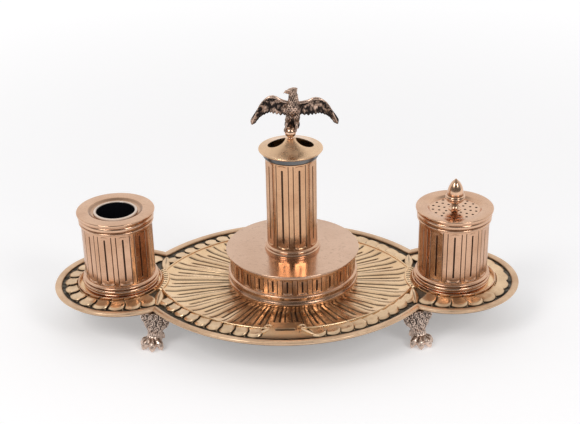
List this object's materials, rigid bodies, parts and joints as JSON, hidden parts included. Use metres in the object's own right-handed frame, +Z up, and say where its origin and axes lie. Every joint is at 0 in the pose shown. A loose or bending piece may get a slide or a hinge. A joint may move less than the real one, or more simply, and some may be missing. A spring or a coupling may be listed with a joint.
{
  "type": "desk inkstand",
  "caption": "Footed desk tray with rounded ends, carrying a lift-out ink pot, a pierced sand pot and a round box whose lid bears a quill column capped by an eagle.",
  "frame": {"origin": "under the middle of the tray, on the table plane the paws stand on", "axes": "+X along the tray towards the sand pot, -Y the front, +Z up"},
  "size_m": [0.3, 0.1612, 0.158],
  "materials": {
    "gilt_turned": "polished rose-gilt metal, lightly worn",
    "gilt_tray": "polished gilt metal with dark patina in the recesses",
    "gilt_leaf": "cast and chased gilt metal, dark between the leaves",
    "bronze_cast": "dark brown patinated casting with rubbed bright edges",
    "brass_inner": "plain turned metal, out of sight",
    "liner_glass": "clear glass stained with dried ink"
  },
  "bodies": {
    "tray": {"tray": "gilt_tray", "tray_rim": "gilt_tray", "leaf_band_front_left": "gilt_leaf", "leaf_band_front_right": "gilt_leaf", "leaf_band_back_left": "gilt_leaf", "leaf_band_back_right": "gilt_leaf", "leaf_band_left_end": "gilt_leaf", "leaf_band_right_end": "gilt_leaf", "well_ring_left": "gilt_tray", "well_ring_right": "gilt_tray", "foot_front_left": "bronze_cast", "foot_front_right": "bronze_cast", "foot_back_left": "bronze_cast", "foot_back_right": "bronze_cast", "foot_studs": "brass_inner"},
    "ink_pot": {"ink_floor": "gilt_turned", "ink_wall": "gilt_turned", "ink_foot_moulding": "gilt_turned", "ink_neck_ring": "gilt_turned"},
    "ink_cover": {"ink_cover": "gilt_turned", "ink_cover_flange": "brass_inner"},
    "ink_liner": {"ink_liner": "liner_glass"},
    "pounce_pot": {"pounce_floor": "gilt_turned", "pounce_wall": "gilt_turned", "pounce_foot_moulding": "gilt_turned", "pounce_neck_ring": "gilt_turned"},
    "pounce_lid": {"pounce_lid": "gilt_turned", "pounce_lid_flange": "brass_inner", "pounce_acorn": "gilt_turned", "pounce_nut": "brass_inner"},
    "drum": {"drum_floor": "gilt_turned", "drum_wall": "gilt_turned", "drum_foot_moulding": "gilt_turned", "drum_top_band": "gilt_turned"},
    "drum_lid": {"drum_lid": "gilt_turned", "drum_lid_flange": "brass_inner", "column_foot_ring": "gilt_turned", "column": "gilt_turned", "column_neck_ring": "gilt_turned"},
    "cap": {"cap": "gilt_turned", "cap_flange": "brass_inner", "orb": "gilt_turned", "eagle": "bronze_cast", "cap_nut": "brass_inner"}
  },
  "joints": [
    {"name": "ink_pot_lift", "type": "slide", "parent": "tray", "child": "ink_pot", "axis": [0, 0, 1], "range_m": [0, 0.06]},
    {"name": "ink_cover_lift", "type": "slide", "parent": "ink_pot", "child": "ink_cover", "axis": [0, 0, 1], "range_m": [0, 0.06]},
    {"name": "ink_liner_lift", "type": "slide", "parent": "ink_cover", "child": "ink_liner", "axis": [0, 0, 1], "range_m": [0, 0.055]},
    {"name": "pounce_pot_lift", "type": "slide", "parent": "tray", "child": "pounce_pot", "axis": [0, 0, 1], "range_m": [0, 0.06]},
    {"name": "pounce_lid_lift", "type": "slide", "parent": "pounce_pot", "child": "pounce_lid", "axis": [0, 0, 1], "range_m": [0, 0.03]},
    {"name": "drum_lift", "type": "slide", "parent": "tray", "child": "drum", "axis": [0, 0, 1], "range_m": [0, 0.05]},
    {"name": "drum_lid_lift", "type": "slide", "parent": "drum", "child": "drum_lid", "axis": [0, 0, 1], "range_m": [0, 0.04]},
    {"name": "cap_lift", "type": "slide", "parent": "drum_lid", "child": "cap", "axis": [0, 0, 1], "range_m": [0, 0.03]}
  ]
}
